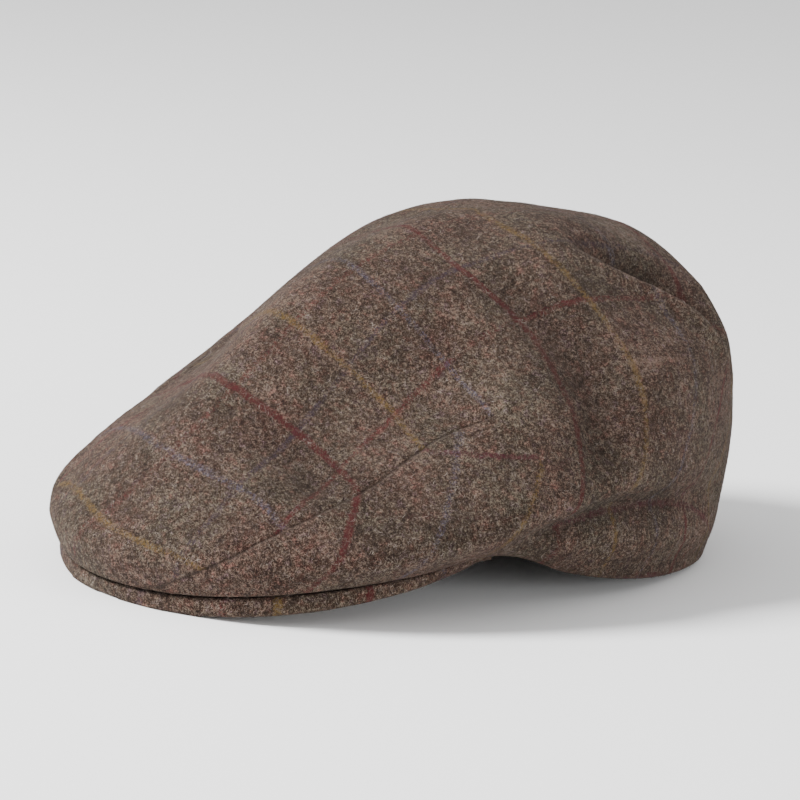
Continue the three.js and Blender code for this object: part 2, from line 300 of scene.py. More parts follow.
# the seam and the panel lie at least this far to the side, and well below the crown's top
SEAM_LEAST_X = 12.0
PANEL_LEAST_X = 14.0
TOP_ROWS_LEFT_OUT = 20
near_side = skin[(angles > 2) & (angles < 178)]
lower = near_side[:, TOP_ROWS_LEFT_OUT:].reshape(-1, 3)
lower = lower[lower[:, 0] > SEAM_LEAST_X]
seam_space = []
for along, up in seam_side:
    gap = np.hypot(lower[:, 1] - along, lower[:, 2] - up)
    seam_space.append(lower[gap.argmin()])
seam_space = np.array(seam_space)
kernel = np.ones(5) / 5
padded_x = np.pad(seam_space[:, 0], 2, mode="edge")
seam_space[:, 0] = np.convolve(padded_x, kernel, mode="valid")
seam_space[:, 1:] = seam_side


def seam_distance(points):
    folded = points.reshape(-1, 3) * 1.0
    folded[:, 0] = np.abs(folded[:, 0])
    best = np.full(len(folded), 1e9)
    for k in range(0, len(seam_space) - 2, 2):
        flat = FLAT_SEAM * np.clip((fine[k] - corner_at + FLAT_FROM) / FLAT_FROM, 0, 1)
        best = np.minimum(best, near_segment(folded, seam_space[k], seam_space[k + 2])[0] + flat)
    return best.reshape(points.shape[:-1])


def inside_panel(points):
    ring = np.vstack([seam_line, [seam_line[-1, 0], -20], [seam_line[0, 0], -20]])
    y, z = points[..., 1], points[..., 2]
    odd = np.zeros(y.shape, bool)
    for (y0, z0), (y1, z1) in zip(ring, np.roll(ring, -1, 0)):
        if z0 == z1:
            continue
        crosses = (z0 > z) != (z1 > z)
        odd ^= crosses & (y < (y1 - y0) * (z - z0) / (z1 - z0) + y0)
    return odd & (np.abs(points[..., 0]) > PANEL_LEAST_X)


def cells_of(grid):
    after = np.roll(grid, -1, 0)
    return (grid[:, :-1] + grid[:, 1:] + after[:, :-1] + after[:, 1:]) / 4


# points beside the seam move along the cloth onto the seam, so that it runs clean
SNAP_REACH = 1.6
LEAST_SIDEWAYS = 0.25
skin_normals = grid_normals(skin)
panel_cells = inside_panel(cells_of(skin))
around_cells = np.stack([panel_cells, np.roll(panel_cells, 1, 0)])
touches = np.zeros((AROUND, DOWN + 1, 4), bool)
touches[:, :-1, :2] = np.moveaxis(around_cells, 0, -1)
touches[:, 1:, 2:] = np.moveaxis(around_cells, 0, -1)
touches[:, 0, 2:] = touches[:, 0, :2]
touches[:, -1, :2] = touches[:, -1, 2:]
on_border = touches.any(-1) & ~touches.all(-1)
for i, j in np.argwhere(on_border):
    p, n = skin[i, j], skin_normals[i, j]
    nearest = None
    for start, end in zip(seam_line[:-1], seam_line[1:]):
        away, f = near_segment(p[1:], start, end)
        if nearest is None or away < nearest[0]:
            nearest = (away, start + f * (end - start) - p[1:])
    if nearest[0] < SNAP_REACH and abs(n[0]) > LEAST_SIDEWAYS:
        dy, dz = nearest[1]
        skin[i, j] += (-(n[1] * dy + n[2] * dz) / n[0], dy, dz)

seam_away = seam_distance(skin)

# soft life in the cloth: slow swells everywhere, small puckers along the seams, a ridge of seam allowance
SLOW_LENGTH, SLOW_HEIGHT = 34.0, 0.6
QUICK_LENGTH, QUICK_HEIGHT = 9.0, 0.2
PUCKER_LENGTH, PUCKER_HEIGHT, PUCKER_REACH = 6.0, 0.5, 6.5
PUCKERS_WITHIN = 16
RIDGE_HEIGHT, RIDGE_AWAY, RIDGE_HALF = 0.2, 2.8, 2.2
GROOVE_DEPTH, GROOVE_HALF = 0.5, 1.1
CALM_TOP_ROWS = 12
CALM_EDGE_ROWS = 8


def waves(p, length, shift=0):
    return noise.noise(Vector((p[0] / length + shift, p[1] / length, p[2] / length)))


skin_normals = grid_normals(skin)
swell = np.zeros(skin.shape[:2])
for i in range(AROUND):
    for j in range(0, DOWN + 1):
        p = skin[i, j]
        swell[i, j] = SLOW_HEIGHT * waves(p, SLOW_LENGTH) + QUICK_HEIGHT * waves(p, QUICK_LENGTH, 7)
        if seam_away[i, j] < PUCKERS_WITHIN:
            nearness = math.exp(-((seam_away[i, j] / PUCKER_REACH) ** 2))
            swell[i, j] += PUCKER_HEIGHT * waves(p, PUCKER_LENGTH, 3) * nearness
calm_top = np.clip(np.linspace(0, DOWN, DOWN + 1) / CALM_TOP_ROWS, 0, 1)
calm_edge = np.clip((DOWN - np.arange(DOWN + 1)) / CALM_EDGE_ROWS, 0.25, 1)
ridge = RIDGE_HEIGHT * np.exp(-(((seam_away - RIDGE_AWAY) / RIDGE_HALF) ** 2))
groove = GROOVE_DEPTH * np.exp(-((seam_away / GROOVE_HALF) ** 2))
skin = skin + skin_normals * ((swell * calm_top + (ridge - groove)) * calm_edge)[..., None]
skin_normals = grid_normals(skin)
skin[..., 2] = np.maximum(skin[..., 2], 0)

# the hem rolls under and is turned up inside
end = skin[:, -1]
end_normal = skin_normals[:, -1]
downward = skin[:, -1] - skin[:, -4]
downward /= np.linalg.norm(downward, axis=1)[:, None]
rows = [skin[:, j] for j in range(DOWN + 1)]
source_row = list(range(DOWN + 1))
r = hem_round[:, None]
for phi in np.radians([20, 45, 70, 95, 120, 150, 180]):
    rows.append(end + downward * r * math.sin(phi) - end_normal * r * (1 - math.cos(phi)))
    source_row.append(DOWN)
for up in (2.0, 5.0, 9.0, HEM_DEPTH):
    back = DOWN - int(round(up / (lengths.mean() / DOWN)))
    rows.append(skin[:, back] - skin_normals[:, back] * (2 * r))
    source_row.append(DOWN)
rows.append(skin[:, back - 1] - skin_normals[:, back - 1] * (0.5 * CLOTH))
source_row.append(DOWN)
shell = np.stack(rows, 1)
shell[..., 2] = np.maximum(shell[..., 2], 0)
source_row = np.array(source_row)

# the wrong side of the cloth, seen only from below, on a coarser grid
INNER_AROUND_STEP = 3
INNER_DOWN_STEP = 4
inner_around = np.arange(0, AROUND, INNER_AROUND_STEP)
inner_down = np.arange(0, DOWN - 3, INNER_DOWN_STEP)
inner = (skin - skin_normals * CLOTH)[np.ix_(inner_around, inner_down)]

# where each point lies in the flat cloth, so that the check runs as it is woven
ALONG_EVERY = 31.3
ACROSS_EVERY = 28.5
ALONG_BEND = [-0.058, -0.005, -0.469, 0.1, 0.154, 0.165, 0.021, 0.046]
ACROSS_BEND = [-0.01, 0.013, 0.311, -0.068, 0.005, -0.05, -0.016, 0.029]
ALONG_SHIFT = 0.049
ACROSS_SHIFT = 0.10
# on the seen side the red line beside the middle sags back where the cloth bags
RED_SAG = 0.165
SAG_ALONG = 0.9
SAG_ALONG_HALF = 0.45
SAG_ACROSS = 1.95


def crown_cloth(polar_length, polar_angle):
    # the bends are worked out in decimetres
    r = polar_length / 100
    a = np.radians(polar_angle)
    u, v = -r * np.cos(a), r * np.sin(a)
    terms = [v * u, v * u**2, v**2, u * v**2, u**2 * v**2, v**4, u * v**4, u**3 * v**2]
    along = u + sum(c * t for c, t in zip(ALONG_BEND, terms))
    terms = [u**2, u**4, v * u, v * u**2, v**3, v**3 * u, v * u**3, v**3 * u**2]
    across = v + sum(c * t for c, t in zip(ACROSS_BEND, terms))
    # whole numbers of the check's lines, counted from the crown's middle
    lines_along = (along + ALONG_SHIFT) / (ALONG_EVERY / 100)
    lines_across = (across - ACROSS_SHIFT) / (ACROSS_EVERY / 100)
    sag_along = (lines_along + SAG_ALONG) / SAG_ALONG_HALF
    sag = np.exp(-(sag_along**2) - (lines_across - SAG_ACROSS) ** 2)
    return np.stack([lines_along - RED_SAG * sag, lines_across], -1)


# the panel is cut on the slant, so its lines run forward and up; the fifth line across lies level
PANEL_SLANT = (0.228, 0.825, -0.517)
PANEL_FIRST_ALONG = -22.5
PANEL_ALONG_EVERY = 24.2
PANEL_FIFTH_HEIGHT = 55
PANEL_ACROSS_EVERY = 17.5
# no line crosses the panel's tip or runs along its hem
PANEL_LAST_ALONG = 2.45
PANEL_LEAST_ACROSS = 3.45


def panel_cloth(points):
    aside = np.abs(points[..., 0])
    along = aside * PANEL_SLANT[0] + points[..., 1] * PANEL_SLANT[1] + points[..., 2] * PANEL_SLANT[2]
    lines_along = (PANEL_FIRST_ALONG - along) / PANEL_ALONG_EVERY
    lines_across = 5 - (PANEL_FIFTH_HEIGHT - points[..., 2]) / PANEL_ACROSS_EVERY
    lines_along = np.minimum(lines_along, PANEL_LAST_ALONG)
    return np.stack([lines_along, np.maximum(lines_across, PANEL_LEAST_ACROSS)], -1)


full_angles = np.repeat(angles[:, None], DOWN + 1, 1)
crown_uv = crown_cloth(shares * lengths[:, None], full_angles)
# below the nape fold the lines across the cap run straight down
fold_angle = [66, 74, 82, 96, 112, 128]
fold_share = np.interp(from_front, fold_angle, [1, 0.96, 0.9, 0.845, 0.83, 0.82])
held = np.minimum(shares, fold_share[:, None])
crown_uv[..., 0] = crown_cloth(held * lengths[:, None], full_angles)[..., 0]
panel_uv = panel_cloth(skin)


def clean_object(name, points, faces, uv, values):
    used = np.unique(faces[faces >= 0])
    renumber = np.full(len(points), -1)
    renumber[used] = np.arange(len(used))
    polygons = []
    for face in renumber[faces]:
        corner = list(dict.fromkeys(int(v) for v in face))
        if len(corner) > 2:
            polygons.append(corner)
    mesh = bpy.data.meshes.new(name)
    mesh.from_pydata(((points[used] + CENTRE) * MM).tolist(), [], polygons)
    mesh.update()
    loops = np.empty(len(mesh.loops), dtype=np.int32)
    mesh.loops.foreach_get("vertex_index", loops)
    layer = mesh.uv_layers.new(name="cloth")
    layer.data.foreach_set("uv", uv[used][loops].astype(np.float32).ravel())
    for value_name, at_points in values.items():
        kept = mesh.attributes.new(value_name, "FLOAT", "POINT")
        kept.data.foreach_set("value", at_points[used].astype(np.float32))
    mesh.polygons.foreach_set("use_smooth", [True] * len(mesh.polygons))
    piece = bpy.data.objects.new(name, mesh)
    bpy.context.scene.collection.objects.link(piece)
    return piece


def strip_faces(around, down, start, facing_out):
    i, j = np.meshgrid(np.arange(around), np.arange(down - 1), indexing="ij")
    k = (i + 1) % around
    a, b = start + i * down + j, start + i * down + j + 1
    c, d = start + k * down + j + 1, start + k * down + j
    quads = np.stack([a, b, c, d] if facing_out else [a, d, c, b], -1)
    return quads.reshape(-1, 4), i.ravel(), j.ravel()


outer_count = shell.shape[1]
outer_faces, outer_i, outer_j = strip_faces(AROUND, outer_count, 0, True)
inner_faces, inner_i, inner_j = strip_faces(len(inner_around), len(inner_down), AROUND * outer_count, False)
all_points = np.vstack([shell.reshape(-1, 3), inner.reshape(-1, 3)])


def for_all(values):
    outer = values[:, source_row]
    hidden = values[np.ix_(inner_around, inner_down)]
    shape = (-1,) + values.shape[2:]
    return np.concatenate([outer.reshape(shape), hidden.reshape(shape)])


middle_row = np.minimum(source_row[outer_j], source_row[outer_j + 1])
outer_middle = (skin[outer_i, middle_row] + skin[(outer_i + 1) % AROUND, source_row[outer_j + 1]]) / 2
inner_next = inner_around[(inner_i + 1) % len(inner_around)]
inner_here = skin[inner_around[inner_i], inner_down[inner_j]]
inner_middle = (inner_here + skin[inner_next, inner_down[inner_j + 1]]) / 2
all_faces = np.vstack([outer_faces, inner_faces])
all_middle = np.vstack([outer_middle, inner_middle])
outer_panel = panel_cells[outer_i, np.minimum(middle_row, DOWN - 1)]
in_panel = np.concatenate([outer_panel, inside_panel(inner_middle)])
left = all_middle[:, 0] > 0
# each skin has one point at the top
inner_start = AROUND * outer_count
one_top = np.arange(len(all_points))
one_top[np.arange(AROUND) * outer_count] = 0
one_top[inner_start + np.arange(len(inner_around)) * len(inner_down)] = inner_start
all_faces = one_top[all_faces]

# loose fibres grow on the outside only, and not where the cloth rests
outside = np.zeros(len(all_points))
outside[:inner_start].reshape(AROUND, outer_count)[:, : DOWN + 3] = 1
BARE_BELOW = 1.5
outside[all_points[:, 2] < BARE_BELOW] = 0

crown_uv, panel_uv = for_all(crown_uv), for_all(panel_uv)
# the folds' press is also kept to paint shade into them and light onto their crests
values = {"seam": for_all(seam_away), "pressed": for_all(pressed * fade) / FOLD_DEPTH, "outside": outside}
crown = clean_object("crown_cloth", all_points, all_faces[~in_panel], crown_uv, values)
panels = []
for name, on_side in (("left_panel_cloth", left), ("right_panel_cloth", ~left)):
    panels.append(clean_object(name, all_points, all_faces[in_panel & on_side], panel_uv, values))
panel_left, panel_right = panels
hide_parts("crown")
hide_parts("side_panel_left")
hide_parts("side_panel_right")

# The peak
# A stiff curved board covered with the same tweed, sewn under the front edge of the crown.
# Only its outer edge shows as a thin strip; its underside is plain.
PEAK_DEPTH = 60.0
PEAK_THICKNESS = 6.4
PEAK_HALF_OPENING = 76.2
PEAK_RISE = 8.0
PEAK_END = 74
# clear of the crown's edge above it, and of the hem behind it
PEAK_GAP = 0.35
PEAK_REAR_GAP = 2
EDGE_ROUND = 0.9
# the board's surface rises and thins from its edge inwards
ROWS_POWER = 1.4
RISE_POWER = 1.7
THINNER_INSIDE = 0.35
# what is lower than this lies flat on the table
REST_BELOW = 0.45
# angle from the front, then how far the edge stands in and how thick it is, as shares of PEAK_THICKNESS
STRIP = np.array(
    [
        [0, 0.17, 0.83],
        [18, 0.13, 0.94],
        [34, 0.1, 1],
        [50, 0.1, 0.91],
        [62, 0.17, 0.62],
        [74, 0.6, 0.3],
    ]
)
PEAK_STEPS = 260
EDGE_ROWS = 9
TOP_ROWS = 14

peak_angles = np.linspace(-PEAK_END, PEAK_END, PEAK_STEPS + 1)
strip = read_table(STRIP, peak_angles) * PEAK_THICKNESS
edge = read_table(EDGE, peak_angles)
outer = place(edge[:, 0], peak_angles, edge[:, 1] * CAP_HEIGHT - PEAK_GAP)
inward = -outer * (1, 1, 0)
inward /= np.linalg.norm(inward, axis=1)[:, None]
outer = outer + inward * strip[:, :1]
turn = np.radians(90 * peak_angles / PEAK_END)
rear, front = [
    place(read_table(EDGE, [at])[:, 0], np.array([float(at)]), np.zeros(1))[0, 1] for at in (PEAK_END, 0)
]
inner_y = rear + PEAK_REAR_GAP - (rear - front - PEAK_DEPTH) * np.cos(turn)
inner_edge = np.stack([PEAK_HALF_OPENING * np.sin(turn), inner_y, outer[:, 2]], -1)
rise = PEAK_RISE * np.cos(turn) ** 2

profile = []
thickness = strip[:, 1]
for k in range(EDGE_ROWS):
    f = k / (EDGE_ROWS - 1)
    round_in = EDGE_ROUND * (1 - np.sqrt(np.maximum(0, 1 - (2 * f - 1) ** 4)))
    row = outer + inward * round_in
    row[:, 2] = outer[:, 2] - thickness * (1 - f)
    profile.append(row)
top = []
bottom = []
for k in range(1, TOP_ROWS + 1):
    f = (k / TOP_ROWS) ** ROWS_POWER
    row = outer + inward * EDGE_ROUND + (inner_edge - outer - inward * EDGE_ROUND) * f
    row[:, 2] = outer[:, 2] + rise * f**RISE_POWER
    top.append(row)
    under = row.copy()
    under[:, 2] -= thickness * (1 - THINNER_INSIDE * f)
    bottom.append(under)
ring = np.stack(profile + top + bottom[::-1], 1)
flat = ring[..., 2] < REST_BELOW
ring[..., 2][flat] = 0
ring[..., 2] = np.maximum(ring[..., 2], 0)
ring_count = ring.shape[1]
i, j = np.meshgrid(np.arange(PEAK_STEPS), np.arange(ring_count), indexing="ij")
k = (j + 1) % ring_count
this_ring, next_ring = i * ring_count, (i + 1) * ring_count
peak_faces = np.stack([this_ring + j, this_ring + k, next_ring + k, next_ring + j], -1).reshape(-1, 4)
peak_points = ring.reshape(-1, 3)
# the board's two ends are closed by joining the ring's points in pairs
near = np.arange((ring_count - 1) // 2)
first_end = np.stack([ring_count - 1 - near, ring_count - 2 - near, near + 1, near], -1)
last_end = PEAK_STEPS * ring_count + first_end[:, ::-1]
peak_faces = np.vstack([peak_faces, first_end, last_end])
# a yellow line lies this far forward and a red one this far to the side
PEAK_YELLOW_AT = 103
PEAK_ALONG_EVERY = 27
PEAK_RED_AT = 44
peak_along = (-peak_points[:, 1] - PEAK_YELLOW_AT) / PEAK_ALONG_EVERY
peak_across = 2 + (peak_points[:, 0] - PEAK_RED_AT) / ACROSS_EVERY
peak_uv = np.stack([peak_along, peak_across], -1)
peak_outside = np.zeros(ring.shape[:2])
peak_outside[:, 2 : EDGE_ROWS - 1] = 1
# no seam is near, and the peak's colour gets the painted light of a fold's crest, the palest of all
PALEST_PAINTED_SHARE = -0.6
values = {
    "seam": np.full(len(peak_points), 30.0),
    "pressed": np.full(len(peak_points), PALEST_PAINTED_SHARE),
    "outside": peak_outside.ravel(),
}
peak = clean_object("peak_cloth", peak_points, peak_faces, peak_uv, values)
mesh = peak.data
volume = sum(mesh.vertices[p.vertices[0]].co.dot(p.normal) * p.area for p in mesh.polygons)
if volume < 0:
    mesh.flip_normals()
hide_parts("peak")


# The tweed
# Brown wool melange of light and dark fibres, felted and brushed, so single fibres lie every way.
# A check of yellow, blue and red yarns is woven in and mixed with the ground, so its lines are broken.
def node_tools(tree):
    nodes, links = tree.nodes, tree.links

    def put(socket, value):
        if isinstance(value, (int, float)):
            socket.default_value = value
        elif isinstance(value, tuple):
            socket.default_value = (*value, 1.0)
        elif value is not None:
            links.new(value, socket)

    def math_node(kind, first, second=None, third=None):
        node = nodes.new("ShaderNodeMath")
        node.operation = kind
        for socket, value in zip(node.inputs, (first, second, third)):
            put(socket, value)
        return node.outputs[0]

    def noise_node(vector, scale, detail=2.0, rough=0.5, distortion=0.0):
        node = nodes.new("ShaderNodeTexNoise")
        names = ("Vector", "Scale", "Detail", "Roughness", "Distortion")
        for name, value in zip(names, (vector, scale, detail, rough, distortion)):
            put(node.inputs[name], value)
        return node.outputs["Fac"]

    def stretched(vector, turn_by, scale):
        node = nodes.new("ShaderNodeMapping")
        node.inputs["Rotation"].default_value = turn_by
        node.inputs["Scale"].default_value = scale
        links.new(vector, node.inputs["Vector"])
        return node.outputs["Vector"]

    def ramp(value, stops, kind="LINEAR"):
        node = nodes.new("ShaderNodeValToRGB")
        node.color_ramp.interpolation = kind
        elements = node.color_ramp.elements
        while len(elements) < len(stops):
            elements.new(0.5)
        for element, (at, colour) in zip(elements, stops):
            element.position = at
            element.color = (*colour, 1.0) if len(colour) == 3 else colour
        links.new(value, node.inputs["Fac"])
        return node.outputs

    def smooth(value, low, high, to_low, to_high):
        node = nodes.new("ShaderNodeMapRange")
        node.interpolation_type = "SMOOTHSTEP"
        for socket, given in zip(node.inputs[:5], (value, low, high, to_low, to_high)):
            put(socket, given)
        return node.outputs[0]

    def mix(factor, first, second, kind="MIX"):
        node = nodes.new("ShaderNodeMix")
        node.data_type = "RGBA"
        node.blend_type = kind
        for socket, value in ((node.inputs[0], factor), (node.inputs[6], first), (node.inputs[7], second)):
            put(socket, value)
        return node.outputs[2]

    def attribute(name):
        node = nodes.new("ShaderNodeAttribute")
        node.attribute_name = name
        return node.outputs["Fac"]

    def parts(vector):
        node = nodes.new("ShaderNodeSeparateXYZ")
        links.new(vector, node.inputs[0])
        return node.outputs[:]

    return SimpleNamespace(
        new=nodes.new,
        link=links.new,
        math=math_node,
        noise=noise_node,
        stretched=stretched,
        ramp=ramp,
        smooth=smooth,
        mix=mix,
        attribute=attribute,
        parts=parts,
    )


def wool_tone(add, where):
    # wool fibres: noises drawn out and curled, each lying its own way
    ways = [
        ((0.3, 0.5, 0.7), (2500, 800, 2100)),
        ((1.3, 0.2, 2.2), (800, 2500, 1900)),
        ((0.7, 1.6, 1.1), (2200, 2300, 780)),
    ]
    strands = [add.noise(add.stretched(where, turned, size), 1.0, 2.0, 0.55, 1.3) for turned, size in ways]
    over = add.math("MAXIMUM", add.math("MAXIMUM", strands[0], strands[1]), strands[2])
    under = add.math("MINIMUM", add.math("MINIMUM", strands[0], strands[1]), strands[2])
    tone = add.math("MULTIPLY", add.math("ADD", over, under), 0.5)
    # clumps of fibres, large patches and knots of wool
    clump = add.noise(where, 700.0, 3.0, 0.6)
    patch = add.noise(where, 45.0, 3.0, 0.5)
    knot = add.noise(where, 210.0, 2.0, 0.6, 0.8)
    for spots, share in ((clump, 0.25), (patch, 0.1), (knot, 0.11)):
        tone = add.math("ADD", tone, add.math("MULTIPLY", add.math("SUBTRACT", spots, 0.5), share))
    return tone, over


def melange(add, where, tone):
    browns = [
        (0.0, (0.009, 0.0052, 0.0042)),
        (0.35, (0.031, 0.0188, 0.0142)),
        (0.62, (0.061, 0.0405, 0.0315)),
        (1.0, (0.18, 0.139, 0.117)),
    ]
    ground = add.ramp(add.smooth(tone, 0.38, 0.63, 0.0, 1.0), browns)["Color"]
    # rusty, olive and violet fibres tint the brown
    tints = [
        (0.32, (1.2, 0.9, 0.86)),
        (0.45, (1.03, 0.98, 0.9)),
        (0.55, (0.96, 1.015, 0.93)),
        (0.68, (1.02, 0.94, 1.12)),
    ]
    hue = add.noise(where, 330.0, 3.0, 0.65)
    ground = add.mix(1.0, ground, add.ramp(hue, tints)["Color"], "MULTIPLY")
    slow_tints = [(0.35, (1.08, 0.95, 0.96)), (0.65, (0.95, 1.01, 0.97))]
    slow_hue = add.noise(add.stretched(where, (0.4, 0.9, 0.2), (38, 52, 44)), 1.0, 2.0, 0.5)
    return add.mix(1.0, ground, add.ramp(slow_hue, slow_tints)["Color"], "MULTIPLY")


# colour and strength of the yarns: along the crown in turn, and across it outwards from the middle
YELLOW = (0.125, 0.076, 0.021, 0.62)
UNDER_BLUE = (0.0, 0.0, 0.0, 0.52)
RED = (0.056, 0.0062, 0.0082, 0.92)
BLUES = [(0.4, (0.02, 0.016, 0.03)), (0.6, (0.12, 0.113, 0.155))]
ACROSS_YARNS = [
    (0.0, (0.09, 0.016, 0.016, 0.42)),
    (0.09, (0.03, 0.02, 0.034, 0.6)),
    (0.26, (0.07, 0.0085, 0.011, 0.78)),
    (0.42, (0.22, 0.145, 0.113, 0.5)),
    (0.6, (0.045, 0.016, 0.017, 0.4)),
    (0.76, (0.055, 0.008, 0.016, 0.68)),
]
ALONG_HALF = 2.4
ACROSS_HALF = 2.3
# painted light and shade: the colour is painted palest on a fold's crest and darkest this deep in one, in
# shares of the fold depth
DARKEST_PAINTED_SHARE = 1.4


def woven_check(add, where, tone, ground):
    cloth = add.new("ShaderNodeUVMap")
    cloth.uv_map = "cloth"
    along_place, across_place = add.parts(cloth.outputs["UV"])[:2]
    wander = add.math("SUBTRACT", add.noise(where, 130.0, 2.0, 0.6), 0.5)
    uneven = add.smooth(add.noise(where, 60.0, 2.0, 0.6), 0.36, 0.6, 0.64, 1.0)
    breaks = add.math("SUBTRACT", add.noise(where, 1150.0, 2.0, 0.7, 0.8), 0.5)

    # the nearer a line's middle, the more of its fibres show
    def lines(coordinate, spacing, half_width):
        moved = add.math("ADD", coordinate, add.math("MULTIPLY", wander, 0.06))
        whole = add.math("ROUND", moved)
        off = add.math("MULTIPLY", add.math("ABSOLUTE", add.math("SUBTRACT", moved, whole)), spacing)
        return whole, add.math("MULTIPLY", add.smooth(off, 0.2 * half_width, half_width, 1.0, 0.0), uneven)

    def shown(cover, strength):
        share = add.math("MULTIPLY", cover, strength)
        lifted = add.math("ADD", share, add.math("MULTIPLY", breaks, 2.6))
        few = add.smooth(share, 0.0, 0.3, 0.0, 0.74)
        return add.math("MULTIPLY", add.smooth(lifted, 0.2, 0.95, 0.0, 1.0), few)

    # weaker by this share where the picked line shows less
    def weaker(strength, is_line, by):
        return add.math("MULTIPLY", strength, add.math("SUBTRACT", 1.0, add.math("MULTIPLY", is_line, by)))

    across_index, across_cover = lines(across_place, ACROSS_EVERY, ACROSS_HALF)
    sixths = add.math("DIVIDE", add.math("ABSOLUTE", across_index), 6.0)
    across = add.ramp(sixths, ACROSS_YARNS, "CONSTANT")
    # the pale line shows only on a short stretch at the back
    pale_line = add.math("COMPARE", sixths, 3 / 6, 0.04)
    beyond = add.math("ABSOLUTE", add.math("SUBTRACT", along_place, 0.35))
    strength = weaker(across["Alpha"], pale_line, add.smooth(beyond, 0.3, 0.6, 0.0, 0.9))
    # the red line across is worn faint before the crossing and towards the back
    red_line = add.math("COMPARE", sixths, 2 / 6, 0.04)
    before = add.math("ABSOLUTE", add.math("ADD", along_place, 1.45))
    faint_before = add.smooth(before, 0.3, 0.55, 0.6, 0.0)
    faint_behind = add.smooth(along_place, -0.1, 0.4, 0.0, 0.35)
    strength = weaker(strength, red_line, add.math("ADD", faint_before, faint_behind))
    colour = add.mix(shown(across_cover, strength), ground, across["Color"])

    # yellow, blue and red take turns along the crown; the blue has light and dark fibres of its own
    along_index, along_cover = lines(along_place, ALONG_EVERY, ALONG_HALF)
    thirds = add.math("DIVIDE", add.math("FLOORED_MODULO", along_index, 3.0), 3.0)
    along = add.ramp(thirds, [(0.0, YELLOW), (0.17, UNDER_BLUE), (0.5, RED)], "CONSTANT")
    after_yellow = add.smooth(thirds, 0.1, 0.3, 0.0, 1.0)
    is_blue = add.math("MULTIPLY", after_yellow, add.smooth(thirds, 0.4, 0.6, 1.0, 0.0))
    along_colour = add.mix(is_blue, along["Color"], add.ramp(tone, BLUES)["Color"])
    return add.mix(shown(along_cover, along["Alpha"]), colour, along_colour)


def cloth_material(name):
    material = bpy.data.materials.new(name)
    material.use_nodes = True
    add = node_tools(material.node_tree)
    where = add.new("ShaderNodeTexCoord").outputs["Object"]
    tone, over = wool_tone(add, where)
    colour = woven_check(add, where, tone, melange(add, where, tone))
    # painted shade in the folds and painted light on their crests: the colour is multiplied down by how
    # deep the cloth is pressed
    painted_fold_shade = add.smooth(add.attribute("pressed"), PALEST_PAINTED_SHARE, DARKEST_PAINTED_SHARE, 0.96, 0.41)
    painted_fold_shade_colour = add.new("ShaderNodeCombineColor")
    for socket in painted_fold_shade_colour.inputs[:3]:
        add.link(painted_fold_shade, socket)
    colour = add.mix(1.0, colour, painted_fold_shade_colour.outputs[0], "MULTIPLY")
    # the seam's line is sunk and dark
    seam = add.attribute("seam")
    colour = add.mix(add.smooth(seam, 0.1, 0.9, 0.6, 0.0), colour, (0.012, 0.008, 0.006))
    # relief of fibres and of the seam
    height = add.math("ADD", tone, add.math("MULTIPLY", over, 0.7))
    height = add.math("ADD", height, add.smooth(seam, 0.0, 1.2, -0.8, 0.0))
    bump = add.new("ShaderNodeBump")
    bump.inputs["Strength"].default_value = 0.9
    bump.inputs["Distance"].default_value = 0.0006
    add.link(height, bump.inputs["Height"])
    shader = material.node_tree.nodes["Principled BSDF"]
    add.link(colour, shader.inputs["Base Color"])
    add.link(bump.outputs["Normal"], shader.inputs["Normal"])
    shader.inputs["Roughness"].default_value = 0.95
    shader.inputs["Specular IOR Level"].default_value = 0.1
    shader.inputs["Sheen Weight"].default_value = 0.05
    shader.inputs["Sheen Roughness"].default_value = 0.6
    shader.inputs["Sheen Tint"].default_value = (0.8, 0.66, 0.56, 1.0)
    return material


tweed = cloth_material("tweed")
for piece in (crown, panel_left, panel_right, peak):
    piece.data.materials.append(tweed)
    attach(piece, "root")

# The brushed fibres
# Loose wool fibres stand out of the brushed face of the tweed and lie over it every way.
# Each is a short curled ribbon; they are strewn over the outside of the cloth with a fixed seed.
FIBRE_LENGTH = 2.7
FIBRE_WIDTH = 0.11
FIBRE_CURL = 0.7
FIBRE_ARCH = 0.3
FIBRES_PER_SQUARE_METRE = 330000


def curled_ribbon(add, given, wave):
    ribbon = add.new("GeometryNodeMeshGrid")
    add.link(given["Length"], ribbon.inputs["Size X"])
    add.link(given["Width"], ribbon.inputs["Size Y"])
    ribbon.inputs["Vertices X"].default_value = 5 if wave else 4
    ribbon.inputs["Vertices Y"].default_value = 2
    place_at = add.new("GeometryNodeInputPosition").outputs[0]
    share = add.math("DIVIDE", add.parts(place_at)[0], add.math("MULTIPLY", given["Length"], 0.5))
    bow = add.math("SUBTRACT", 1.0, add.math("MULTIPLY", share, share))
    sideways = add.math("MULTIPLY", bow, add.math("MULTIPLY", share, 2.2)) if wave else bow
    moved = add.new("ShaderNodeCombineXYZ")
    add.link(add.math("MULTIPLY", sideways, given["Curl"]), moved.inputs[1])
    add.link(add.math("MULTIPLY", add.math("SUBTRACT", bow, 0.45), given["Arch"]), moved.inputs[2])
    bent = add.new("GeometryNodeSetPosition")
    add.link(ribbon.outputs["Mesh"], bent.inputs["Geometry"])
    add.link(moved.outputs[0], bent.inputs["Offset"])
    return bent.outputs[0]


